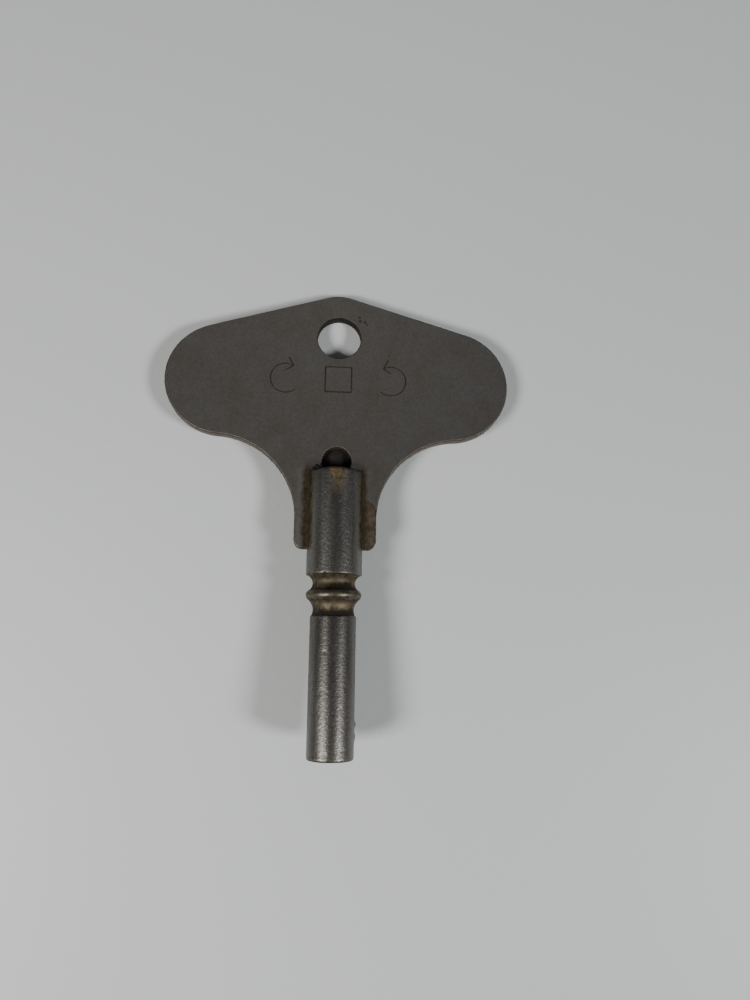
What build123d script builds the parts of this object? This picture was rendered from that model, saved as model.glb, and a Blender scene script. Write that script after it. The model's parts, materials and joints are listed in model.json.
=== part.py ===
"""Winged socket key: a stamped steel wing plate brazed into the slotted end of a turned barrel.

The key lies as it rests on a table: the wing's top edge and the barrel's top end touch z = 0, and
the socket's mouth stands a few millimetres above it. +Y runs from the mouth to the top of the wing,
+X is to the right across the wing and +Z is up. The origin is on the table below the middle of the
whole key. All sizes are in millimetres.
"""

from build123d import *
from math import asin, atan2, cos, degrees, hypot, radians, sin, sqrt, tan
import os

# Barrel: a turned steel rod. Every length is measured along its axis.
socket_size = 3.25
socket_corner_wall = 0.45
socket_depth = 10.5
pilot_oversize = 0.1
pilot_depth = 13.5
drill_point_angle = 118.0
lower_length = 16.3
shoulder_step = 0.61
upper_length = 12.7
mouth_break = 0.3
top_break = 0.3
rim_break = 0.12
bead_inset = 0.03
bead_round = 0.62
first_cove_depth = 0.21
first_cove_spacing = 1.4
second_cove_depth = 0.29
second_cove_spacing = 1.75

# Wing plate: heights are measured up from the barrel's top end.
wing_span = 43.0
plate_thickness = 1.6
edge_radius = 0.15
apex_height = 23.1
apex_radius = 6.0
tip_radius = 7.2
tip_height = 11.6
underarm_radius = 10.4
tongue_width = 9.94
tongue_depth = 9.5
tongue_corner_radius = 1.0
hanging_hole_diameter = 5.5
hanging_hole_height = 17.45
braze_hole_diameter = 3.56
braze_hole_height = 1.3

# Brazed joint between the two.
slot_clearance = 0.05
braze_leg = 0.55
braze_overlap = 0.5
braze_setback = 0.4

# Sizes that follow from the values above.
lower_radius = socket_size * sqrt(2) / 2 + socket_corner_wall
upper_radius = lower_radius + shoulder_step
bead_radius = upper_radius - bead_inset
slot_width = plate_thickness + 2 * slot_clearance
slot_depth = tongue_depth + slot_clearance


def cove_radius(root, spacing):
    """Radius of the cove that has this root radius and runs smoothly into the bead."""
    offset = root - (bead_radius - bead_round)
    return (offset**2 + spacing**2 - bead_round**2) / (2 * (bead_round - offset))


def cove_rise(root, cove, rim):
    """Length along the axis from a cove's root to the rim where it ends."""
    return sqrt(cove**2 - (root + cove - rim) ** 2)


# The neck: two coves with a bead between them, placed down from the upper section's end.
first_root = lower_radius - first_cove_depth
second_root = lower_radius - second_cove_depth
first_cove = cove_radius(first_root, first_cove_spacing)
second_cove = cove_radius(second_root, second_cove_spacing)
upper_end = -upper_length
first_cove_level = upper_end - cove_rise(first_root, first_cove, upper_radius - rim_break)
bead_level = first_cove_level - first_cove_spacing
second_cove_level = bead_level - second_cove_spacing
lower_start = second_cove_level - cove_rise(second_root, second_cove, lower_radius - rim_break)
mouth_level = lower_start - lower_length

# How the key rests: it dips towards the wing until the apex's lower edge comes down to the table.
lever = apex_height - edge_radius + top_break
drop = upper_radius - plate_thickness / 2 + edge_radius
pitch = atan2(drop, lever) - asin(edge_radius / hypot(lever, drop))
axis_height = upper_radius * cos(pitch) - top_break * sin(pitch)
mouth_reach = mouth_level * cos(pitch) - (lower_radius - mouth_break) * sin(pitch)
edge_level = plate_thickness / 2 - edge_radius
apex_reach = (apex_height - edge_radius) * cos(pitch) + edge_level * sin(pitch) + edge_radius

# The barrel's axis points along the key, and the plate's face looks up and a little towards +Y.
top_end = Vector(0, -(mouth_reach + apex_reach) / 2, axis_height)
along = Vector(0, cos(pitch), -sin(pitch))
face_normal = Vector(0, sin(pitch), cos(pitch))
barrel_axis = Axis(top_end, along)
plate_plane = Plane(origin=top_end, x_dir=(1, 0, 0), z_dir=face_normal)
mouth_plane = Plane(origin=top_end + along * mouth_level, x_dir=(1, 0, 0), z_dir=-along)
tongue_end_plane = Plane(origin=top_end - along * tongue_depth, x_dir=(1, 0, 0), z_dir=along)

# Wing plate outline, right half: apex arc, straight flank, round tip, underarm, side of the tongue.
apex_centre = Vector(0, apex_height - apex_radius)
tip_centre = Vector(wing_span / 2 - tip_radius, tip_height)
underarm_x = tongue_width / 2 + underarm_radius
underarm_drop = sqrt((underarm_radius + tip_radius) ** 2 - (underarm_x - tip_centre.X) ** 2)
underarm_centre = Vector(underarm_x, tip_height - underarm_drop)
apex_to_tip = tip_centre - apex_centre
flank_normal = degrees(atan2(apex_to_tip.Y, apex_to_tip.X)) + 90
flank_normal -= degrees(asin((apex_radius - tip_radius) / apex_to_tip.length))
tip_to_underarm = underarm_centre - tip_centre
tip_end = degrees(atan2(tip_to_underarm.Y, tip_to_underarm.X))

with BuildPart() as wing_plate:
    with BuildSketch(plate_plane):
        with BuildLine():
            apex_arc = CenterArc(apex_centre, apex_radius, 90, flank_normal - 90)
            tip_arc = CenterArc(tip_centre, tip_radius, flank_normal, tip_end - flank_normal)
            Line(apex_arc @ 1, tip_arc @ 0)
            underarm_arc = CenterArc(underarm_centre, underarm_radius, tip_end + 180, -tip_end)
            side = Line(underarm_arc @ 1, (tongue_width / 2, -tongue_depth))
            Line(side @ 1, (0, -tongue_depth))
            mirror(about=Plane.YZ)
        outline = make_face()
        fillet(outline.vertices().group_by(Axis.Y)[0], tongue_corner_radius)
        with Locations((0, hanging_hole_height)):
            Circle(hanging_hole_diameter / 2, mode=Mode.SUBTRACT)
        with Locations((0, braze_hole_height)):
            Circle(braze_hole_diameter / 2, mode=Mode.SUBTRACT)
    extrude(amount=plate_thickness / 2, both=True)
    broad_faces = wing_plate.faces().sort_by(SortBy.AREA)[-2:]
    fillet([edge for face in broad_faces for edge in face.outer_wire().edges()], edge_radius)

# Half section of the barrel, from the mouth up to the top end. The coves run smoothly into the bead.
bead_centre = Vector(bead_radius - bead_round, bead_level)
first_centre = Vector(first_root + first_cove, first_cove_level)
second_centre = Vector(second_root + second_cove, second_cove_level)
first_touch = bead_centre + (first_centre - bead_centre).normalized() * bead_round
second_touch = bead_centre + (second_centre - bead_centre).normalized() * bead_round
pilot_radius = (socket_size + pilot_oversize) / 2
drill_point = pilot_radius / tan(radians(drill_point_angle / 2))

with BuildPart() as barrel:
    with BuildSketch(plate_plane):
        with BuildLine():
            Polyline(
                (0, mouth_level),
                (lower_radius - mouth_break, mouth_level),
                (lower_radius, mouth_level + mouth_break),
                (lower_radius, lower_start - rim_break),
                (lower_radius - rim_break, lower_start),
            )
            RadiusArc((lower_radius - rim_break, lower_start), second_touch, second_cove)
            RadiusArc(second_touch, first_touch, -bead_round)
            RadiusArc(first_touch, (upper_radius - rim_break, upper_end), first_cove)
            Polyline(
                (upper_radius - rim_break, upper_end),
                (upper_radius, upper_end + rim_break),
                (upper_radius, -top_break),
                (upper_radius - top_break, 0),
                (0, 0),
                (0, mouth_level),
            )
        make_face()
    revolve(axis=barrel_axis)
    with BuildSketch(plate_plane):
        Rectangle(2 * upper_radius, slot_depth, align=(Align.CENTER, Align.MAX))
    extrude(amount=slot_width / 2, both=True, mode=Mode.SUBTRACT)
    with BuildSketch(mouth_plane):
        Rectangle(socket_size, socket_size)
    extrude(amount=-socket_depth, mode=Mode.SUBTRACT)
    with BuildSketch(plate_plane):
        with BuildLine():
            Polyline(
                (0, mouth_level),
                (pilot_radius, mouth_level),
                (pilot_radius, mouth_level + pilot_depth),
                (0, mouth_level + pilot_depth + drill_point),
                close=True,
            )
        make_face()
    revolve(axis=barrel_axis, mode=Mode.SUBTRACT)

# Braze: four fillets in the corners between the barrel and the plate. The section is drawn for one
# corner with a hollow face, and it reaches into the slot's clearance, where the braze has run.
plate_face = plate_thickness / 2
wall_at_plate = sqrt(upper_radius**2 - plate_face**2)
wall_at_braze_top = sqrt(upper_radius**2 - (plate_face + braze_leg) ** 2)
braze_length = tongue_depth - braze_setback

with BuildPart() as braze_fillets:
    with BuildSketch(tongue_end_plane):
        with BuildLine():
            foot = (wall_at_plate + braze_leg, plate_face)
            crest = (wall_at_braze_top, plate_face + braze_leg)
            RadiusArc(foot, crest, braze_leg * 1.5)
            Polyline(crest, (wall_at_plate - braze_overlap, plate_face), foot)
        make_face()
        mirror(about=Plane.YZ)
        mirror(about=Plane.XZ)
    extrude(amount=braze_length)
    add(barrel.part, mode=Mode.SUBTRACT)
    add(wing_plate.part, mode=Mode.SUBTRACT)

wing_plate.part.label = "wing_plate"
barrel.part.label = "barrel"
braze_fillets.part.label = "braze_fillets"

os.makedirs("parts", exist_ok=True)
export_step(wing_plate.part, "parts/wing_plate.step")
export_step(barrel.part, "parts/barrel.step")
export_step(braze_fillets.part, "parts/braze_fillets.step")

print(f"pitch {degrees(pitch):.3f} degrees, barrel {-mouth_level:.3f}, length {apex_reach - mouth_reach:.3f}")
print(f"top end y {top_end.Y:.4f}, axis height {axis_height:.4f}, mouth level {mouth_level:.4f}")
print(f"lower section {2 * lower_radius:.3f} across, upper section {2 * upper_radius:.3f} across")
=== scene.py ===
import json
from math import asin, atan2, cos, pi, radians, sin, sqrt, tan

import bmesh
import bpy
from mathutils import Matrix, Vector, noise


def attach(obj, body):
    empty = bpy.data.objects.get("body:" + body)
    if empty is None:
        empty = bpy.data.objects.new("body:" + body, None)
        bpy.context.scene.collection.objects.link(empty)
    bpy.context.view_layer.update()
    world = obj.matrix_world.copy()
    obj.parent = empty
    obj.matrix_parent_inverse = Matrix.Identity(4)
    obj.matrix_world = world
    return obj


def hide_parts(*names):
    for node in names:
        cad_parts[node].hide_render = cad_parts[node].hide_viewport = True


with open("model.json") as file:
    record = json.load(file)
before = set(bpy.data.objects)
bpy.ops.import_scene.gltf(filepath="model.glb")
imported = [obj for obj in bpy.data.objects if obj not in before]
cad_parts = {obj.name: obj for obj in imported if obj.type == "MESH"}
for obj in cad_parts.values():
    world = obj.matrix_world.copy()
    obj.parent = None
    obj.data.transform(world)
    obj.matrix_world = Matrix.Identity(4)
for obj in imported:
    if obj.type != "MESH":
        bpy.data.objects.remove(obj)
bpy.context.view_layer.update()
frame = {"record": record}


# ---- Camera ----
# It stands over the table and looks almost straight down at the key, through a 27 mm lens on a
# sensor 36 mm long.
mm = 0.001
camera_place = Vector((-1.6, -6.3, 95.4)) * mm
camera_target = Vector((5.1, 2.5, 0.0)) * mm
camera_turn = radians(1.13)

camera_data = bpy.data.cameras.new("camera")
camera_data.lens = 27.0
camera_data.sensor_width = 36.0
camera_data.clip_start = 10 * mm
camera = bpy.data.objects.new("camera", camera_data)
look = (camera_target - camera_place).normalized()
upright = (Vector((0, 1, 0)) - look * look.y).normalized()
aim = Matrix((look.cross(upright), upright, -look)).transposed().to_4x4()
camera.matrix_world = Matrix.Translation(camera_place) @ aim @ Matrix.Rotation(camera_turn, 4, "Z")
bpy.context.scene.collection.objects.link(camera)
bpy.context.scene.camera = camera


# ---- Wing plate ----
# The flat wing that the fingers turn, stamped from 1.6 mm steel sheet and then nickel-plated.
# The punch rolls its upper edge over and leaves an upright sheared wall with a small burr below.
# Its narrow tongue goes into the barrel's slot, where it is brazed.
plate_thickness = 1.6 * mm
wing_span = 43.0 * mm
apex_height = 23.1 * mm
apex_radius = 6.0 * mm
tip_radius = 7.2 * mm
tip_height = 11.6 * mm
underarm_radius = 10.4 * mm
tongue_width = 9.94 * mm
tongue_depth = 9.5 * mm
tongue_corner = 1.0 * mm
hanging_hole_radius = 2.75 * mm
hanging_hole_height = 17.45 * mm
braze_hole_radius = 1.78 * mm
braze_hole_height = 1.3 * mm
roll_over = 0.11 * mm
burr_break = 0.06 * mm
weld_distance = 0.001 * mm
half_plate = plate_thickness / 2
hole_segments = 96

# The key's own directions: u across the wing, v from the barrel's top end to the apex, w out of the
# upper face. The record's hanging hole and barrel give them, and the hole's height gives the origin.
mounts = {mount["name"]: mount for mount in frame["record"]["mounts"]}
face_way = Vector(mounts["hanging_hole"]["axis"]).normalized()
along_way = -Vector(mounts["barrel_outside"]["axis"]).normalized()
across_way = along_way.cross(face_way)
top_end = Vector(mounts["hanging_hole"]["pos_m"]) - along_way * hanging_hole_height
key_place = Matrix((across_way, along_way, face_way)).transposed().to_4x4()
key_place.translation = top_end


def place_piece(mesh, name):
    """Object at the origin for a bmesh that was made in the key's own directions."""
    bmesh.ops.transform(mesh, matrix=key_place, verts=mesh.verts)
    data = bpy.data.meshes.new(name)
    mesh.to_mesh(data)
    mesh.free()
    piece = bpy.data.objects.new(name, data)
    bpy.context.scene.collection.objects.link(piece)
    return piece


def cut_away(piece, mesh, name, lining=None):
    """Cuts a bmesh made in the key's own directions out of a piece. A lining is the cut's material."""
    cutter = place_piece(mesh, name)
    if lining:
        cutter.data.materials.append(lining)
    cut = piece.modifiers.new(name, "BOOLEAN")
    cut.operation = "DIFFERENCE"
    cut.solver = "EXACT"
    cut.material_mode = "TRANSFER" if lining else "INDEX"
    cut.object = cutter
    depsgraph = bpy.context.evaluated_depsgraph_get()
    shape = bpy.data.meshes.new_from_object(piece.evaluated_get(depsgraph))
    piece.modifiers.remove(cut)
    piece.data = shape
    bpy.data.objects.remove(cutter)


def shade_smoothly(piece, sharp_angle):
    """Smooth shading between sharp edges. Faces that lie level with the sheet stay flat."""
    level_cosine = 0.9999
    piece.data.set_sharp_from_angle(angle=sharp_angle)
    for face in piece.data.polygons:
        face.use_smooth = abs(face.normal.dot(face_way)) < level_cosine


def line_to(mesh, path, point):
    """Adds a straight edge from the path's last vertex."""
    path.append(bmesh.ops.extrude_vert_indiv(mesh, verts=path[-1:])["verts"][0])
    path[-1].co = Vector((*point, 0))


def arc_about(mesh, path, centre, angle, steps):
    """Adds an arc from the path's last vertex, turned about a centre."""
    spun = bmesh.ops.spin(mesh, geom=path[-1:], cent=Vector((*centre, 0)), axis=(0, 0, 1),
                          angle=angle, steps=steps)
    path.append([part for part in spun["geom_last"] if isinstance(part, bmesh.types.BMVert)][0])


apex_centre = Vector((0, apex_height - apex_radius))
tip_centre = Vector((wing_span / 2 - tip_radius, tip_height))
underarm_x = tongue_width / 2 + underarm_radius
underarm_drop = sqrt((underarm_radius + tip_radius) ** 2 - (underarm_x - tip_centre.x) ** 2)
underarm_centre = Vector((underarm_x, tip_height - underarm_drop))
to_tip = tip_centre - apex_centre
flank_turn = atan2(to_tip.y, to_tip.x) + pi / 2 - asin((apex_radius - tip_radius) / to_tip.length)
to_underarm = underarm_centre - tip_centre
tip_end = atan2(to_underarm.y, to_underarm.x)

mesh = bmesh.new()
path = [mesh.verts.new((0, apex_height, 0))]
arc_about(mesh, path, apex_centre, flank_turn - pi / 2, 16)
line_to(mesh, path, tip_centre + tip_radius * Vector((cos(flank_turn), sin(flank_turn))))
arc_about(mesh, path, tip_centre, tip_end - flank_turn, 96)
arc_about(mesh, path, underarm_centre, -tip_end, 72)
line_to(mesh, path, (tongue_width / 2, tongue_corner - tongue_depth))
arc_about(mesh, path, (tongue_width / 2 - tongue_corner, tongue_corner - tongue_depth), -pi / 2, 14)
line_to(mesh, path, (0, -tongue_depth))
bmesh.ops.mirror(mesh, geom=mesh.verts[:] + mesh.edges[:], merge_dist=weld_distance, axis="X")
for radius, height in ((hanging_hole_radius, hanging_hole_height),
                       (braze_hole_radius, braze_hole_height)):
    bmesh.ops.create_circle(mesh, radius=radius, segments=hole_segments,
                            matrix=Matrix.Translation((0, height, 0)))
bmesh.ops.remove_doubles(mesh, verts=mesh.verts, dist=weld_distance)
bmesh.ops.triangle_fill(mesh, use_beauty=True, edges=mesh.edges, normal=(0, 0, 1))
bmesh.ops.translate(mesh, vec=(0, 0, -half_plate), verts=mesh.verts)
lifted = bmesh.ops.extrude_face_region(mesh, geom=mesh.faces[:])["geom"]
bmesh.ops.translate(mesh, vec=(0, 0, plate_thickness),
                    verts=[part for part in lifted if isinstance(part, bmesh.types.BMVert)])
bmesh.ops.recalc_face_normals(mesh, faces=mesh.faces)
corner_angle = radians(45)
for level, width, steps in ((half_plate, roll_over, 4), (-half_plate, burr_break, 2)):
    rim = [edge for edge in mesh.edges
           if all(abs(vert.co.z - level) < weld_distance for vert in edge.verts)
           and edge.calc_face_angle(0) > corner_angle]
    bmesh.ops.bevel(mesh, geom=rim, offset=width, offset_type="OFFSET", segments=steps, profile=0.5,
                    affect="EDGES", material=-1)
wing_plate = place_piece(mesh, "stamped_wing_plate")


def colour(code):
    """Linear red, green, blue and alpha of an sRGB hex code."""
    parts = [int(code[i:i + 2], 16) / 255 for i in (1, 3, 5)]
    return [p / 12.92 if p <= 0.04045 else ((p + 0.055) / 1.055) ** 2.4 for p in parts] + [1.0]


def add(tree, kind, inputs=None, **settings):
    """A node with its settings, its values and its links. A socket among the inputs is linked.

    A mix of colours takes them at inputs 6 and 7 and gives its result at output 2. A mix of values
    takes them at inputs 2 and 3 and gives its result at output 0.
    """
    node = tree.nodes.new(kind)
    for name, value in settings.items():
        setattr(node, name, value)
    for name, value in (inputs or {}).items():
        if isinstance(value, bpy.types.NodeSocket):
            tree.links.new(value, node.inputs[name])
        else:
            node.inputs[name].default_value = value
    return node


def start_material(name):
    """Material with its node tree, its shader and the key's own directions as coordinates."""
    material = bpy.data.materials.new(name)
    material.use_nodes = True
    tree = material.node_tree
    place = add(tree, "ShaderNodeTexCoord").outputs["Object"]
    key = add(tree, "ShaderNodeMapping", {"Vector": place, "Location": top_end,
                                          "Rotation": key_place.to_euler()}, vector_type="TEXTURE")
    return material, tree, tree.nodes["Principled BSDF"], key.outputs["Vector"]


def lay_dirt_and_shade(tree, shader, mask, metal, dirt_and_shade, roughness):
    """Lays dull dirt and painted shade over bare metal where the mask is 1. Metal and coat are colours or
    sockets.

    The coat's colour nearly closes before the metallic shine goes, so that no pale rim shows.
    """
    coat_roughness = 0.8
    film = add(tree, "ShaderNodeMapRange", {"Value": mask, "From Max": 0.8})
    coat = add(tree, "ShaderNodeMix", {"Factor": film.outputs["Result"], 6: metal, 7: dirt_and_shade},
               data_type="RGBA")
    bare = add(tree, "ShaderNodeMapRange", {"Value": mask, "From Min": 0.6, "To Min": 1.0,
                                            "To Max": 0.1})
    dull = add(tree, "ShaderNodeMix", {"Factor": mask, 2: roughness, 3: coat_roughness})
    tree.links.new(coat.outputs[2], shader.inputs["Base Color"])
    tree.links.new(bare.outputs["Result"], shader.inputs["Metallic"])
    tree.links.new(dull.outputs[0], shader.inputs["Roughness"])


# Matt nickel over steel: a warm grey metal, dulled by age, with an even grain of 0.3 mm and faint
# cloudy patches some 3 mm across. Brown flux and braze stains run along the barrel, with painted
# shade where the barrel shades the wing.
matt_nickel, tree, shader, key = start_material("matt_nickel_on_stamped_steel")
clouds = add(tree, "ShaderNodeTexNoise", {"Vector": key, "Scale": 1 / (3.0 * mm), "Detail": 3.0,
                                          "Roughness": 0.6})
grain = add(tree, "ShaderNodeTexNoise", {"Vector": key, "Scale": 1 / (0.3 * mm), "Detail": 2.0,
                                         "Roughness": 0.7})
tone = add(tree, "ShaderNodeMapRange", {"Value": clouds.outputs["Fac"], "From Min": 0.3,
                                        "From Max": 0.7})
metal = add(tree, "ShaderNodeMix", {"Factor": tone.outputs["Result"], 6: colour("#a19e9a"),
                                    7: colour("#9a938c")}, data_type="RGBA")
speckle = add(tree, "ShaderNodeMapRange", {"Value": grain.outputs["Fac"], "From Min": 0.3,
                                           "From Max": 0.7, "To Min": 0.88, "To Max": 1.12})
metal = add(tree, "ShaderNodeVectorMath", {0: metal.outputs[2], "Scale": speckle.outputs["Result"]},
            operation="SCALE")
parts = add(tree, "ShaderNodeSeparateXYZ", {"Vector": key})
ragged = add(tree, "ShaderNodeTexNoise", {"Vector": key, "Scale": 1 / (1.1 * mm), "Detail": 3.0,
                                          "Roughness": 0.6})
wander = add(tree, "ShaderNodeMapRange", {"Value": ragged.outputs["Fac"], "From Min": 0.25,
                                          "From Max": 0.75, "To Min": -0.35 * mm, "To Max": 0.35 * mm})
aside = add(tree, "ShaderNodeMath", {0: parts.outputs["X"]}, operation="ABSOLUTE")
aside = add(tree, "ShaderNodeMath", {0: aside.outputs[0], 1: wander.outputs["Result"]},
            operation="ADD")
# The stain, braze stain darkened with painted shade from the barrel, covers the lower part of the
# right leg and is narrower above.
on_right = add(tree, "ShaderNodeMapRange", {"Value": parts.outputs["X"], "From Max": 1.0 * mm})
level = add(tree, "ShaderNodeMath", {0: parts.outputs["Y"], 1: wander.outputs["Result"]},
            operation="ADD")
right_leg = add(tree, "ShaderNodeMapRange", {"Value": level.outputs[0], "From Min": -4.6 * mm,
                                             "From Max": -3.3 * mm, "To Min": -1.3 * mm,
                                             "To Max": 0.45 * mm})
aside = add(tree, "ShaderNodeMath", {0: right_leg.outputs["Result"], 1: on_right.outputs["Result"],
                                     2: aside.outputs[0]}, operation="MULTIPLY_ADD")
near_barrel = add(tree, "ShaderNodeMapRange", {"Value": aside.outputs[0], "From Min": 5.1 * mm,
                                               "From Max": 3.2 * mm}, interpolation_type="SMOOTHSTEP")
on_tongue = add(tree, "ShaderNodeMapRange", {"Value": level.outputs[0], "From Min": 1.5 * mm,
                                             "From Max": -0.4 * mm}, interpolation_type="SMOOTHSTEP")
stain_and_shade = add(tree, "ShaderNodeMath", {0: near_barrel.outputs["Result"], 1: on_tongue.outputs["Result"]},
            operation="MULTIPLY")
# The rolled edge is darkened with painted shade, standing in for the dark room it reflects. The sheared
# wall has dirt and painted shade, a little lighter, and the hanging hole's wall is painted nearly black
# as shade.
depth = add(tree, "ShaderNodeMath", {0: parts.outputs["Z"]}, operation="ABSOLUTE")
on_roll = add(tree, "ShaderNodeMapRange", {"Value": depth.outputs[0], "From Min": 0.7998 * mm,
                                           "From Max": 0.786 * mm})
on_wall = add(tree, "ShaderNodeMapRange", {"Value": depth.outputs[0], "From Min": 0.66 * mm,
                                           "From Max": 0.5 * mm, "To Min": 0.95, "To Max": 0.55})
on_side = add(tree, "ShaderNodeMath", {0: on_roll.outputs["Result"], 1: on_wall.outputs["Result"]},
              operation="MULTIPLY")
from_hole = add(tree, "ShaderNodeVectorMath", {0: key, 1: (0, hanging_hole_height, 0)},
                operation="DISTANCE")
in_hole = add(tree, "ShaderNodeMapRange", {"Value": from_hole.outputs["Value"], "From Min": 3.6 * mm,
                                           "From Max": 3.2 * mm})
below_rim = add(tree, "ShaderNodeMapRange", {"Value": depth.outputs[0], "From Min": 0.72 * mm,
                                             "From Max": 0.6 * mm})
in_hole = add(tree, "ShaderNodeMath", {0: in_hole.outputs["Result"], 1: below_rim.outputs["Result"]},
              operation="MULTIPLY")
wall_dirt_and_shade = add(tree, "ShaderNodeMath", {0: on_side.outputs[0], 1: in_hole.outputs[0]},
                operation="MAXIMUM")
dirt_and_shade = add(tree, "ShaderNodeMath", {0: stain_and_shade.outputs[0], 1: wall_dirt_and_shade.outputs[0]},
           operation="MAXIMUM")
patches = add(tree, "ShaderNodeTexNoise", {"Vector": key, "Scale": 1 / (0.6 * mm), "Detail": 3.0})
patches = add(tree, "ShaderNodeMapRange", {"Value": patches.outputs["Fac"], "From Min": 0.35,
                                           "From Max": 0.65})
dirt_and_shade_tone = add(tree, "ShaderNodeMix", {"Factor": patches.outputs["Result"], 6: colour("#32291a"),
                                        7: colour("#4f4433")}, data_type="RGBA")
dirt_and_shade_tone = add(tree, "ShaderNodeMix", {"Factor": in_hole.outputs[0], 6: dirt_and_shade_tone.outputs[2],
                                        7: colour("#070605")}, data_type="RGBA")
lay_dirt_and_shade(tree, shader, dirt_and_shade.outputs[0], metal.outputs["Vector"], dirt_and_shade_tone.outputs[2], 0.35)
dent = add(tree, "ShaderNodeBump", {"Height": grain.outputs["Fac"], "Distance": 0.006 * mm,
                                    "Strength": 1.0})
tree.links.new(dent.outputs["Normal"], shader.inputs["Normal"])
wing_plate.data.materials.append(matt_nickel)

# Old dirt that has settled in the stamped strokes and pits: a dull brownish black.
stroke_dirt, tree, shader, key = start_material("old_dirt_in_stamped_strokes")
crumbs = add(tree, "ShaderNodeTexNoise", {"Vector": key, "Scale": 1 / (0.3 * mm), "Detail": 3.0})
tone = add(tree, "ShaderNodeMix", {"Factor": crumbs.outputs["Fac"], 6: colour("#1d1915"),
                                   7: colour("#4c453d")}, data_type="RGBA")
tree.links.new(tone.outputs[2], shader.inputs["Base Color"])
shader.inputs["Metallic"].default_value = 0.5
shader.inputs["Roughness"].default_value = 0.6

# A generic guide mark stands where such a key is stamped: a square for the socket between two
# arrows for the way it turns. Its strokes are round-bottomed and some 0.18 mm wide.
mark_height = 11.9 * mm
mark_square = 3.3 * mm
mark_arrow_reach = 6.6 * mm
mark_arrow_radius = 1.9 * mm
mark_arrow_head = 1.25 * mm
stroke_radius = 0.1 * mm
stroke_sink = 0.055 * mm
stroke_overshoot = 0.02 * mm
barb_start = 0.04 * mm
stroke_sides = 10


def stamp_line(mesh, start, end):
    """Cutter for one straight stroke in the upper face."""
    start, end = Vector((*start, 0)), Vector((*end, 0))
    turn = (end - start).to_track_quat("Z", "Y").to_matrix().to_4x4()
    bmesh.ops.create_cone(mesh, cap_ends=True, segments=stroke_sides, radius1=stroke_radius,
                          radius2=stroke_radius, depth=(end - start).length,
                          matrix=Matrix.Translation((start + end) / 2) @ turn)


def cut_strokes(mesh, sink):
    """Cuts strokes drawn about the mark's middle into the upper face. The strokes don't cross."""
    bmesh.ops.translate(mesh, vec=(0, mark_height, half_plate + stroke_radius - sink), verts=mesh.verts)
    bmesh.ops.recalc_face_normals(mesh, faces=mesh.faces)
    cut_away(wing_plate, mesh, "guide_mark_cutter", lining=stroke_dirt)


half_square = mark_square / 2
arc_from, arc_sweep = radians(-130), radians(250)
arrow_centre = Vector((mark_arrow_reach, 0))
arc_start = arrow_centre + mark_arrow_radius * Vector((cos(arc_from), sin(arc_from)))
arc_to_angle = arc_from + arc_sweep
arc_end = arrow_centre + mark_arrow_radius * Vector((cos(arc_to_angle), sin(arc_to_angle)))

mesh = bmesh.new()
ring = bmesh.ops.create_circle(mesh, cap_ends=True, radius=stroke_radius, segments=stroke_sides,
                               matrix=Matrix.Translation(arc_start.to_3d())
                               @ Matrix.Rotation(arc_from, 4, "Z") @ Matrix.Rotation(pi / 2, 4, "X"))
ring_faces = list({face for vert in ring["verts"] for face in vert.link_faces})
bmesh.ops.spin(mesh, geom=ring_faces, cent=arrow_centre.to_3d(), axis=(0, 0, 1), angle=arc_sweep,
               steps=40)
stamp_line(mesh, (half_square, half_square), (half_square, -half_square))
bmesh.ops.mirror(mesh, geom=mesh.verts[:] + mesh.edges[:] + mesh.faces[:], merge_dist=-1,
                 axis="X")
cut_strokes(mesh, stroke_sink)
# The two barbs of each arrowhead, one at a time, each with one of the square's other two sides. They
# start a little beyond the arrow's tip and go a little deeper, so that no two cuts share an edge.
for turn, height, sink in ((radians(-32), half_square, 0.06 * mm),
                           (radians(62), -half_square, 0.065 * mm)):
    mesh = bmesh.new()
    barb = Vector((cos(turn), sin(turn)))
    stamp_line(mesh, arc_end - barb_start * barb, arc_end + mark_arrow_head * barb)
    bmesh.ops.mirror(mesh, geom=mesh.verts[:] + mesh.edges[:] + mesh.faces[:], merge_dist=-1,
                     axis="X")
    stamp_line(mesh, (-half_square - stroke_overshoot, height),
               (half_square + stroke_overshoot, height))
    cut_strokes(mesh, sink)

# Small pits in the sheet: four beside the hanging hole, one below it, one beside the mark. Each has
# its place across and along the key and its radius, in millimetres, and is cut by a ball whose
# middle stands a little above the face.
pits = ((2.55, 20.35, 0.16), (2.62, 19.85, 0.19), (3.25, 19.7, 0.17), (3.5, 19.35, 0.13),
        (6.35, 15.3, 0.1), (-9.1, 10.7, 0.09))
pit_rise = 0.03 * mm
mesh = bmesh.new()
for u, v, radius in pits:
    middle = Vector((u * mm, v * mm, half_plate + pit_rise))
    bmesh.ops.create_icosphere(mesh, subdivisions=2, radius=radius * mm,
                               matrix=Matrix.Translation(middle))
cut_away(wing_plate, mesh, "pit_cutter", lining=stroke_dirt)
shade_smoothly(wing_plate, radians(40))
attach(wing_plate, "root")
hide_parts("wing_plate")


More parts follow.
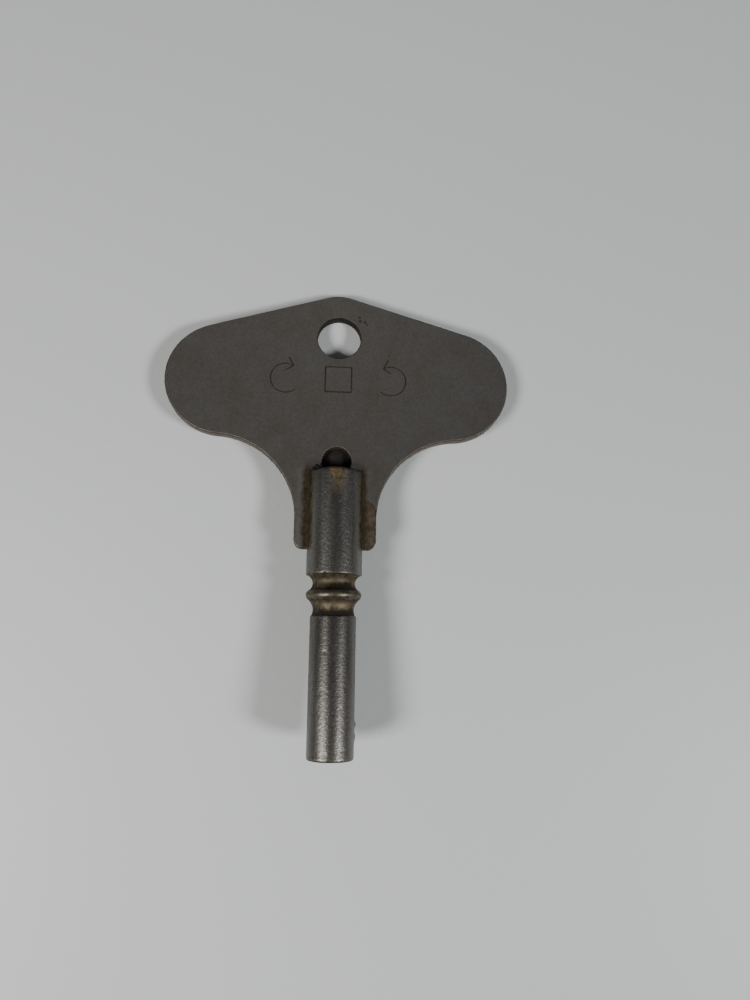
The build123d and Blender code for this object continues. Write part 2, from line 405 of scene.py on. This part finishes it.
# ---- Barrel ----
# The shank that goes over the clock's arbour: turned from steel rod and nickel-plated.
# Its top end is sawn through for the wing's tongue. Two coves with a bead between them lead down to
# the slim lower section, which has a drilled pilot and a square socket pushed into its end.
upper_radius = 3.358 * mm
lower_radius = 2.748 * mm
bead_radius = 3.328 * mm
bead_round = 0.62 * mm
first_root = 2.538 * mm
second_root = 2.458 * mm
first_spacing = 1.4 * mm
second_spacing = 1.75 * mm
upper_length = 12.7 * mm
lower_length = 16.3 * mm
rim_break = 0.12 * mm
end_break = 0.3 * mm
slot_width = 1.7 * mm
slot_depth = 9.55 * mm
socket_size = 3.25 * mm
socket_depth = 10.5 * mm
pilot_radius = 1.675 * mm
pilot_depth = 13.5 * mm
drill_half_angle = radians(59)
steps_round = 144
bore_steps_round = 48
cutter_width = 8.0 * mm
cutter_overshoot = 1.0 * mm


def cove_of(root, spacing):
    """Radius of the cove that has this root radius and runs smoothly into the bead."""
    offset = root - (bead_radius - bead_round)
    return (offset ** 2 + spacing ** 2 - bead_round ** 2) / (2 * (bead_round - offset))


def arc_to(mesh, path, centre, point, steps):
    """Adds the shorter arc about a centre from the path's last vertex to a point."""
    start, end = path[-1].co.to_2d() - centre, Vector(point) - centre
    turn = atan2(end.y, end.x) - atan2(start.y, start.x)
    arc_about(mesh, path, centre, (turn + pi) % (2 * pi) - pi, steps)


first_cove = cove_of(first_root, first_spacing)
second_cove = cove_of(second_root, second_spacing)
first_across = first_root + first_cove - upper_radius + rim_break
first_level = -upper_length - sqrt(first_cove ** 2 - first_across ** 2)
bead_level = first_level - first_spacing
second_level = bead_level - second_spacing
second_across = second_root + second_cove - lower_radius + rim_break
lower_start = second_level - sqrt(second_cove ** 2 - second_across ** 2)
mouth_level = lower_start - lower_length
first_centre = Vector((first_root + first_cove, first_level))
bead_centre = Vector((bead_radius - bead_round, bead_level))
second_centre = Vector((second_root + second_cove, second_level))
first_touch = bead_centre + (first_centre - bead_centre).normalized() * bead_round
second_touch = bead_centre + (second_centre - bead_centre).normalized() * bead_round

mesh = bmesh.new()
path = [mesh.verts.new((0, 0, 0))]
line_to(mesh, path, (upper_radius - end_break, 0))
arc_to(mesh, path, Vector((upper_radius - end_break, -end_break)), (upper_radius, -end_break), 5)
line_to(mesh, path, (upper_radius, rim_break - upper_length))
upper_run = path[-1].link_edges[:]
arc_to(mesh, path, Vector((upper_radius - rim_break, rim_break - upper_length)),
       (upper_radius - rim_break, -upper_length), 4)
arc_to(mesh, path, first_centre, first_touch, 20)
arc_to(mesh, path, bead_centre, second_touch, 22)
arc_to(mesh, path, second_centre, (lower_radius - rim_break, lower_start), 24)
arc_to(mesh, path, Vector((lower_radius - rim_break, lower_start - rim_break)),
       (lower_radius, lower_start - rim_break), 4)
line_to(mesh, path, (lower_radius, mouth_level + end_break))
lower_run = path[-1].link_edges[:]
arc_to(mesh, path, Vector((lower_radius - end_break, mouth_level + end_break)),
       (lower_radius - end_break, mouth_level), 6)
line_to(mesh, path, (0, mouth_level))
bmesh.ops.subdivide_edges(mesh, edges=upper_run, cuts=70)
bmesh.ops.subdivide_edges(mesh, edges=lower_run, cuts=100)
bmesh.ops.spin(mesh, geom=mesh.verts[:] + mesh.edges[:], cent=(0, 0, 0), axis=(0, 1, 0), angle=2 * pi,
               steps=steps_round, use_merge=True)
bmesh.ops.remove_doubles(mesh, verts=mesh.verts, dist=weld_distance)
bmesh.ops.recalc_face_normals(mesh, faces=mesh.faces)

# Small knocks: two burrs on the right near the mouth, one dent in the upper section and six in the
# lower one. Each has its turn in degrees from the top towards the right, then its level, its spread
# and its height in millimetres. The skin is a little uneven as well. Nothing nearer to the axis than
# skin_from_radius is moved.
knocks = ((84, -29.9, 0.34, 0.17), (86, -31.25, 0.42, 0.15), (8, -4.4, 0.18, -0.06),
          (-19, -21.75, 0.2, -0.04), (-4, -21.2, 0.16, -0.03), (-24, -26.0, 0.3, -0.01),
          (24, -28.0, 0.25, -0.01), (28, -32.6, 0.3, -0.02), (-14, -33.0, 0.3, -0.02))
knock_fall_off = 2.718
skin_from_radius = 2.3 * mm
swell_height = 0.006 * mm
swell_length = 1.4 * mm
ripple_height = 0.003 * mm
ripple_length = 0.4 * mm
for vert in mesh.verts:
    outward = Vector((vert.co.x, 0, vert.co.z))
    radius = outward.length
    if radius < skin_from_radius:
        continue
    outward.normalize()
    lift = swell_height * noise.noise(vert.co / swell_length)
    lift += ripple_height * noise.noise(vert.co / ripple_length)
    for turn, level, spread, height in knocks:
        spot = Vector((sin(radians(turn)) * radius, level * mm, cos(radians(turn)) * radius))
        lift += height * mm * knock_fall_off ** (-((vert.co - spot).length / (spread * mm)) ** 2)
    vert.co += outward * lift
barrel = place_piece(mesh, "turned_barrel")

mesh = bmesh.new()
slot = bmesh.ops.create_cube(mesh, size=1)["verts"]
bmesh.ops.scale(mesh, vec=(cutter_width, slot_depth + cutter_overshoot, slot_width), verts=slot)
bmesh.ops.translate(mesh, vec=(0, (cutter_overshoot - slot_depth) / 2, 0), verts=slot)
cut_away(barrel, mesh, "slot_cutter")
mesh = bmesh.new()
socket = bmesh.ops.create_cube(mesh, size=1)["verts"]
bmesh.ops.scale(mesh, vec=(socket_size, socket_depth + cutter_overshoot, socket_size),
                verts=socket)
bmesh.ops.translate(mesh, vec=(0, mouth_level + (socket_depth - cutter_overshoot) / 2, 0),
                    verts=socket)
cut_away(barrel, mesh, "socket_cutter")
mesh = bmesh.new()
path = [mesh.verts.new((0, mouth_level - cutter_overshoot, 0))]
line_to(mesh, path, (pilot_radius, mouth_level - cutter_overshoot))
line_to(mesh, path, (pilot_radius, mouth_level + pilot_depth))
line_to(mesh, path, (0, mouth_level + pilot_depth + pilot_radius / tan(drill_half_angle)))
bmesh.ops.spin(mesh, geom=mesh.verts[:] + mesh.edges[:], cent=(0, 0, 0), axis=(0, 1, 0), angle=2 * pi,
               steps=bore_steps_round, use_merge=True)
bmesh.ops.remove_doubles(mesh, verts=mesh.verts, dist=weld_distance)
bmesh.ops.recalc_face_normals(mesh, faces=mesh.faces)
cut_away(barrel, mesh, "pilot_cutter")
shade_smoothly(barrel, radians(35))

# Semi-gloss nickel over turned steel. The round rod shows the lamps as two stripes, pebbled by a
# plating grain of 0.3 mm. Olive dirt fills the coves; their black corners are painted shade and the
# dark band across the bead is a painted reflection.
turned_nickel, tree, shader, key = start_material("semi_gloss_nickel_on_turned_steel")
pebbles = add(tree, "ShaderNodeTexNoise", {"Vector": key, "Scale": 1 / (0.3 * mm), "Detail": 2.0,
                                           "Roughness": 0.65})
streaks = add(tree, "ShaderNodeMapping", {"Vector": key, "Scale": (1.0, 0.12, 1.0)})
streaks = add(tree, "ShaderNodeTexNoise", {"Vector": streaks.outputs["Vector"], "Scale": 1 / (0.7 * mm),
                                           "Detail": 3.0})
tone = add(tree, "ShaderNodeMapRange", {"Value": streaks.outputs["Fac"], "From Min": 0.3,
                                        "From Max": 0.7})
metal = add(tree, "ShaderNodeMix", {"Factor": tone.outputs["Result"], 6: colour("#787672"),
                                    7: colour("#67635f")}, data_type="RGBA")
speckle = add(tree, "ShaderNodeMapRange", {"Value": pebbles.outputs["Fac"], "From Min": 0.3,
                                           "From Max": 0.7, "To Min": 0.82, "To Max": 1.18})
metal = add(tree, "ShaderNodeVectorMath", {0: metal.outputs[2], "Scale": speckle.outputs["Result"]},
            operation="SCALE")
parts = add(tree, "ShaderNodeSeparateXYZ", {"Vector": key})
# Painted shade darkens the lower section towards the neck, dimming the lamps' stripes there. The
# mouth's end and the upper section are free of it.
shade_towards_neck = add(tree, "ShaderNodeMapRange", {"Value": parts.outputs["Y"], "From Min": -33.0 * mm,
                                           "From Max": -20.0 * mm, "To Min": 1.0, "To Max": 0.72})
upper = add(tree, "ShaderNodeMapRange", {"Value": parts.outputs["Y"], "From Min": -14.5 * mm,
                                         "From Max": -12.7 * mm})
bright = add(tree, "ShaderNodeMath", {0: shade_towards_neck.outputs["Result"], 1: upper.outputs["Result"]},
             operation="MAXIMUM")
metal = add(tree, "ShaderNodeVectorMath", {0: metal.outputs["Vector"], "Scale": bright.outputs[0]},
            operation="SCALE")
ragged = add(tree, "ShaderNodeTexNoise", {"Vector": key, "Scale": 1 / (0.8 * mm), "Detail": 4.0,
                                          "Roughness": 0.7})
wander = add(tree, "ShaderNodeMapRange", {"Value": ragged.outputs["Fac"], "From Min": 0.3,
                                          "From Max": 0.7, "To Min": -0.22 * mm, "To Max": 0.22 * mm})
level = add(tree, "ShaderNodeMath", {0: parts.outputs["Y"], 1: wander.outputs["Result"]},
            operation="ADD")
# Dirt and painted shade along the neck: how far up it, from below the coves to the upper section,
# and how thick. The black bands at the coves' corners and under the upper section's rim are painted
# shade, the dark band across the bead's middle is a painted reflection, and the olive is dirt.
neck = add(tree, "ShaderNodeMapRange", {"Value": level.outputs[0], "From Min": -18.0 * mm,
                                        "From Max": -12.4 * mm})
dirt_and_shade_bands = add(tree, "ShaderNodeValToRGB", {"Fac": neck.outputs["Result"]})
stops = dirt_and_shade_bands.color_ramp.elements
neck_dirt_and_shade = ((0.06, 0.0), (0.09, 1.0), (0.16, 1.0), (0.24, 0.45), (0.33, 0.5), (0.42, 1.0), (0.465, 0.1),
             (0.51, 0.1), (0.545, 0.9), (0.585, 0.05), (0.62, 1.0), (0.68, 0.8), (0.78, 0.42), (0.9, 0.9),
             (0.945, 0.5), (0.965, 0.0))
for at, amount in neck_dirt_and_shade:
    stops.new(at).color = (amount, amount, amount, 1)
for stop, (at, amount) in zip((stops[0], stops[-1]), ((0.0, 0.0), (1.0, 0.0))):
    stop.position, stop.color = at, (amount, amount, amount, 1)
# Flux and painted shade darken the crevices beside the wing, and flux stains a streak down from the
# tongue of brass.
depth = add(tree, "ShaderNodeMath", {0: parts.outputs["Z"]}, operation="ABSOLUTE")
beside = add(tree, "ShaderNodeMapRange", {"Value": depth.outputs[0], "From Min": 2.2 * mm,
                                          "From Max": 1.2 * mm})
along = add(tree, "ShaderNodeMapRange", {"Value": level.outputs[0], "From Min": -9.9 * mm,
                                         "From Max": -9.3 * mm})
crevice = add(tree, "ShaderNodeMath", {0: beside.outputs["Result"], 1: along.outputs["Result"]},
              operation="MULTIPLY")
streak = add(tree, "ShaderNodeVectorMath", {0: key, 1: (0.2 * mm, -0.6 * mm, upper_radius)},
             operation="SUBTRACT")
streak = add(tree, "ShaderNodeVectorMath", {0: streak.outputs["Vector"], 1: (1.0, 0.42, 1.0)},
             operation="MULTIPLY")
streak = add(tree, "ShaderNodeVectorMath", {0: streak.outputs["Vector"]}, operation="LENGTH")
streak = add(tree, "ShaderNodeMath", {0: streak.outputs["Value"], 1: wander.outputs["Result"]},
             operation="ADD")
streak = add(tree, "ShaderNodeMapRange", {"Value": streak.outputs[0], "From Min": 1.25 * mm,
                                          "From Max": 0.2 * mm, "To Max": 0.9})
flux_and_crevice_shade = add(tree, "ShaderNodeMath", {0: crevice.outputs[0], 1: streak.outputs["Result"]},
           operation="MAXIMUM")
dirt_and_shade = add(tree, "ShaderNodeMath", {0: dirt_and_shade_bands.outputs["Color"], 1: flux_and_crevice_shade.outputs[0]},
           operation="MAXIMUM")
# Painted shade darkens the mouth's rounded end, standing in for the dark room that its edge reflects.
at_mouth = add(tree, "ShaderNodeMapRange", {"Value": parts.outputs["Y"], "From Min": -33.6 * mm,
                                            "From Max": -33.8 * mm, "To Max": 0.95})
dirt_and_shade = add(tree, "ShaderNodeMath", {0: dirt_and_shade.outputs[0], 1: at_mouth.outputs["Result"]},
           operation="MAXIMUM")
# The coat's tone runs from nearly black in the bands of painted shade to tan where the dirt is thin.
crud = add(tree, "ShaderNodeTexNoise", {"Vector": key, "Scale": 1 / (0.8 * mm), "Detail": 3.0})
crud = add(tree, "ShaderNodeMapRange", {"Value": crud.outputs["Fac"], "From Min": 0.35,
                                        "From Max": 0.6, "To Min": 0.3, "To Max": 2.2})
thin = add(tree, "ShaderNodeMath", {0: 1.0, 1: dirt_and_shade.outputs[0]}, operation="SUBTRACT")
thin = add(tree, "ShaderNodeMath", {0: thin.outputs[0], 1: crud.outputs["Result"]}, operation="MULTIPLY",
           use_clamp=True)
grime_and_shade = add(tree, "ShaderNodeMix", {"Factor": thin.outputs[0], 6: colour("#1c140b"),
                                    7: colour("#77694c")}, data_type="RGBA")
lay_dirt_and_shade(tree, shader, dirt_and_shade.outputs[0], metal.outputs["Vector"], grime_and_shade.outputs[2], 0.4)
dent = add(tree, "ShaderNodeBump", {"Height": pebbles.outputs["Fac"], "Distance": 0.03 * mm,
                                    "Strength": 1.0})
tree.links.new(dent.outputs["Normal"], shader.inputs["Normal"])
barrel.data.materials.append(turned_nickel)
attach(barrel, "root")
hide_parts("barrel")


# ---- Braze ----
# The brass spelter that holds the wing in the barrel. It was melted into the slot from the small
# round hole and drew out into four ragged fillets, two on each face, with a tongue of it left on
# the barrel's top end and some burnt flux beside it.
braze_leg = 0.55 * mm
braze_start = -9.35 * mm
braze_end = 0.1 * mm
braze_bite = 0.02 * mm
spread_length = 1.3 * mm
climb_length = 1.0 * mm
braze_ripple_height = 0.03 * mm
braze_ripple_length = 0.35 * mm
wall = sqrt(upper_radius ** 2 - half_plate ** 2)


def close_behind(mesh, verts, core):
    """Gives an open skin a back, drawn in towards a line along the key, so that it is a solid."""
    drawn_in = 0.8
    faces = list({face for vert in verts for face in vert.link_faces})
    backs = bmesh.ops.extrude_face_region(mesh, geom=faces)["geom"]
    for vert in (part for part in backs if isinstance(part, bmesh.types.BMVert)):
        vert.co.x += (core[0] - vert.co.x) * drawn_in
        vert.co.z += (core[1] - vert.co.z) * drawn_in


# The four fillets, whose ends taper out. Each runs hollow from its foot on the wing to its crest on
# the barrel, and bites a little into both. Whole numbers in the noise set the four apart.
mesh = bmesh.new()
for side, face in ((1, 1), (-1, 1), (1, -1), (-1, -1)):
    skin = bmesh.ops.create_grid(mesh, x_segments=8, y_segments=96, size=0.5)["verts"]
    for vert in skin:
        across, run = vert.co.x + 0.5, vert.co.y + 0.5
        v = braze_start + (braze_end - braze_start) * run
        taper = min(1, 14 * run, 10 * (1 - run)) ** 0.5
        spread = 0.75 + 0.7 * noise.noise((v / spread_length, 7 * side, 3 * face))
        climb = 0.7 + 0.5 * noise.noise((v / climb_length, 5 * side + 20, 9 * face))
        ripple = noise.noise((v / braze_ripple_length, across * 3, 11 * side + face))
        ripple *= braze_ripple_height
        foot = Vector((wall + braze_leg * spread * taper, half_plate - braze_bite))
        crest_w = half_plate + braze_leg * climb * taper
        crest = Vector((sqrt(upper_radius ** 2 - crest_w ** 2) - braze_bite, crest_w))
        corner = Vector((wall, half_plate)) * (1 + 0.02 * taper)
        bend = foot * (1 - across) ** 2 + corner * 2 * across * (1 - across) + crest * across ** 2
        bend += Vector((ripple, ripple)) * 4 * across * (1 - across)
        vert.co = Vector((side * bend.x, v, face * bend.y))
    close_behind(mesh, skin, (side * (wall - 0.3 * mm), face * (half_plate - 0.05 * mm)))

# The tongue of brass that has run down from the barrel's top end: wide at the end face and drawn out
# to a blunt tip, it follows the barrel's round and the break of its edge.
run_length = 2.1 * mm
run_half_width = 1.05 * mm
run_tip_half_width = 0.12 * mm
run_thickness = 0.07 * mm
run_wobble = 0.12 * mm
brass_run = bmesh.ops.create_grid(mesh, x_segments=16, y_segments=24, size=0.5)["verts"]
for vert in brass_run:
    across, run = 2 * vert.co.x, 0.5 - vert.co.y
    width = run_half_width * (1 - run) ** 1.3 + run_tip_half_width
    middle = 0.2 * mm * run - 0.15 * mm
    u = middle + across * width + run_wobble * noise.noise((run * 6, across, 2))
    lump = 0.5 + 0.5 * noise.noise((across * 1.5, run * 4, 31))
    height = upper_radius - braze_bite
    height += run_thickness * (1 - across ** 2) * (1 - run ** 3) * (0.4 + lump)
    v = braze_bite - run_length * run
    height -= max(0, v + end_break) ** 2 / (2 * end_break)
    vert.co = Vector((u, v, sqrt(height ** 2 - u ** 2)))
close_behind(mesh, brass_run, (0, upper_radius - 0.8 * mm))

# A black plug with a lumpy face, sunk in the small round hole, is painted shade that keeps the
# half-moon as dark as deep shadow. Crumbs of burnt flux lie on the wing's upper face. Each crumb has
# its place across and along the key and its size, in millimetres.
plug_flatness = 0.12
plug_sink = 0.5 * mm
plug_lump_height = 0.12 * mm
plug_lump_length = 0.7 * mm
crumb_flatness = 0.6
crumb_lump_length = 0.2 * mm
flux_crumbs = ((-2.75, 0.3, 0.22), (-2.4, 0.55, 0.26), (-2.05, 0.45, 0.2), (-1.85, 0.75, 0.24),
               (-2.95, 0.05, 0.16), (-1.6, 0.4, 0.18), (2.1, 0.3, 0.14), (2.75, 0.15, 0.15),
               (-3.9, -1.6, 0.09), (-3.85, -2.3, 0.08), (-4.15, -2.9, 0.07))
brass_faces = len(mesh.faces)
plug = bmesh.ops.create_uvsphere(mesh, u_segments=48, v_segments=12,
                                 radius=braze_hole_radius + braze_bite)["verts"]
for vert in plug:
    sag = plug_lump_height * noise.noise(vert.co / plug_lump_length)
    vert.co = Vector((vert.co.x, vert.co.y + braze_hole_height,
                      vert.co.z * plug_flatness - plug_sink + sag))
for u, v, size in flux_crumbs:
    crumb = bmesh.ops.create_icosphere(mesh, subdivisions=2, radius=size * mm)["verts"]
    for vert in crumb:
        vert.co *= 1 + 0.5 * noise.noise(vert.co / crumb_lump_length + Vector((u, v, 0)) * 5)
        vert.co.z *= crumb_flatness
        vert.co += Vector((u * mm, v * mm, half_plate))
mesh.faces.ensure_lookup_table()
for face in mesh.faces[brass_faces:]:
    face.material_index = 1
bmesh.ops.recalc_face_normals(mesh, faces=mesh.faces)
braze = place_piece(mesh, "brass_spelter")
shade_smoothly(braze, radians(60))

# Tarnished spelter: yellow-brown brass with dark burnt flux in clouds some 0.8 mm across. The fillets
# along the sides are darker than the tongue on top, with burnt flux and painted shade of the crevice.
spelter, tree, shader, key = start_material("tarnished_brass_spelter")
burnt = add(tree, "ShaderNodeTexNoise", {"Vector": key, "Scale": 1 / (0.8 * mm), "Detail": 5.0,
                                         "Roughness": 0.7})
parts = add(tree, "ShaderNodeSeparateXYZ", {"Vector": key})
aside = add(tree, "ShaderNodeMath", {0: parts.outputs["X"]}, operation="ABSOLUTE")
burnt_and_shaded_sides = add(tree, "ShaderNodeMapRange", {"Value": aside.outputs[0], "From Min": 1.0 * mm,
                                               "From Max": 2.0 * mm, "To Min": -0.25, "To Max": 0.3})
mask = add(tree, "ShaderNodeMapRange", {"Value": burnt.outputs["Fac"], "From Min": 0.35,
                                        "From Max": 0.65, "To Min": 0.3, "To Max": 0.9})
mask = add(tree, "ShaderNodeMath", {0: mask.outputs["Result"], 1: burnt_and_shaded_sides.outputs["Result"]},
           operation="ADD", use_clamp=True)
lay_dirt_and_shade(tree, shader, mask.outputs[0], colour("#8f8266"), colour("#3a2e1b"), 0.5)
dent = add(tree, "ShaderNodeBump", {"Height": burnt.outputs["Fac"], "Distance": 0.05 * mm,
                                    "Strength": 1.0})
tree.links.new(dent.outputs["Normal"], shader.inputs["Normal"])

# Burnt flux, a dull black crust pitted where it has broken, on the crumbs; on the plug in the small
# round hole it is painted shade.
burnt_flux_and_shade_plug, tree, shader, key = start_material("burnt_flux_and_shade_plug")
pitting = add(tree, "ShaderNodeTexNoise", {"Vector": key, "Scale": 1 / (0.3 * mm), "Detail": 4.0})
tone = add(tree, "ShaderNodeMix", {"Factor": pitting.outputs["Fac"], 6: colour("#060504"),
                                   7: colour("#241d13")}, data_type="RGBA")
tree.links.new(tone.outputs[2], shader.inputs["Base Color"])
shader.inputs["Roughness"].default_value = 0.75
dent = add(tree, "ShaderNodeBump", {"Height": pitting.outputs["Fac"], "Distance": 0.06 * mm,
                                    "Strength": 1.0})
tree.links.new(dent.outputs["Normal"], shader.inputs["Normal"])
braze.data.materials.append(spelter)
braze.data.materials.append(burnt_flux_and_shade_plug)
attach(braze, "root")
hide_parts("braze_fillets")


# ---- Table, lamps and room ----
# A plain pale grey laminate, two soft lamps some 45 degrees up on either side, and a dim room with
# somewhat lighter walls to the left and right and a soft glow on the ceiling beyond the wing.
table_reach = 1500 * mm
mesh = bmesh.new()
bmesh.ops.create_grid(mesh, x_segments=1, y_segments=1, size=table_reach)
table_data = bpy.data.meshes.new("table")
mesh.to_mesh(table_data)
mesh.free()
table = bpy.data.objects.new("table", table_data)
bpy.context.scene.collection.objects.link(table)
laminate = bpy.data.materials.new("pale_grey_laminate")
laminate.use_nodes = True
tree = laminate.node_tree
shader = tree.nodes["Principled BSDF"]
shader.inputs["Base Color"].default_value = colour("#d8dbda")
shader.inputs["Roughness"].default_value = 0.5
place = add(tree, "ShaderNodeTexCoord").outputs["Object"]
peel = add(tree, "ShaderNodeTexNoise", {"Vector": place, "Scale": 1 / (0.9 * mm), "Detail": 2.0})
dent = add(tree, "ShaderNodeBump", {"Height": peel.outputs["Fac"], "Distance": 0.02 * mm,
                                    "Strength": 1.0})
tree.links.new(dent.outputs["Normal"], shader.inputs["Normal"])
table_data.materials.append(laminate)

# Each lamp has the way to it, its distance and size in metres, its power in watts and its tint.
for name, way, distance, size, power, tint in (
        ("left_lamp", (-0.80, -0.46, 1.0), 0.3, 0.09, 0.62, "#fffefb"),
        ("right_lamp", (0.96, -0.46, 1.0), 0.6, 0.14, 2.15, "#fcfdff")):
    data = bpy.data.lights.new(name, "AREA")
    data.shape = "DISK"
    data.size = size
    data.energy = power
    data.color = colour(tint)[:3]
    lamp = bpy.data.objects.new(name, data)
    way = Vector(way).normalized()
    aim = way.to_track_quat("Z", "Y").to_matrix().to_4x4()
    lamp.matrix_world = Matrix.Translation(way * distance) @ aim
    bpy.context.scene.collection.objects.link(lamp)

room = bpy.data.worlds.new("room")
room.use_nodes = True
bpy.context.scene.world = room
tree = room.node_tree
way = add(tree, "ShaderNodeTexCoord").outputs["Generated"]
parts = add(tree, "ShaderNodeSeparateXYZ", {"Vector": way})
aside = add(tree, "ShaderNodeMath", {0: parts.outputs["X"]}, operation="ABSOLUTE")
sides = add(tree, "ShaderNodeMapRange", {"Value": aside.outputs[0], "From Min": 0.3, "From Max": 1.0})
walls = add(tree, "ShaderNodeMix", {"Factor": sides.outputs["Result"], 6: colour("#303030"),
                                    7: colour("#4e5052")}, data_type="RGBA")
near_glow = add(tree, "ShaderNodeVectorMath", {0: way, 1: (0.0, 0.62, 0.785)},
                operation="DOT_PRODUCT")
glow = add(tree, "ShaderNodeMapRange", {"Value": near_glow.outputs["Value"], "From Min": 0.88,
                                        "From Max": 0.995}, interpolation_type="SMOOTHSTEP")
light = add(tree, "ShaderNodeMix", {"Factor": glow.outputs["Result"], 6: walls.outputs[2],
                                    7: colour("#848484")}, data_type="RGBA")
tree.links.new(light.outputs[2], tree.nodes["Background"].inputs["Color"])
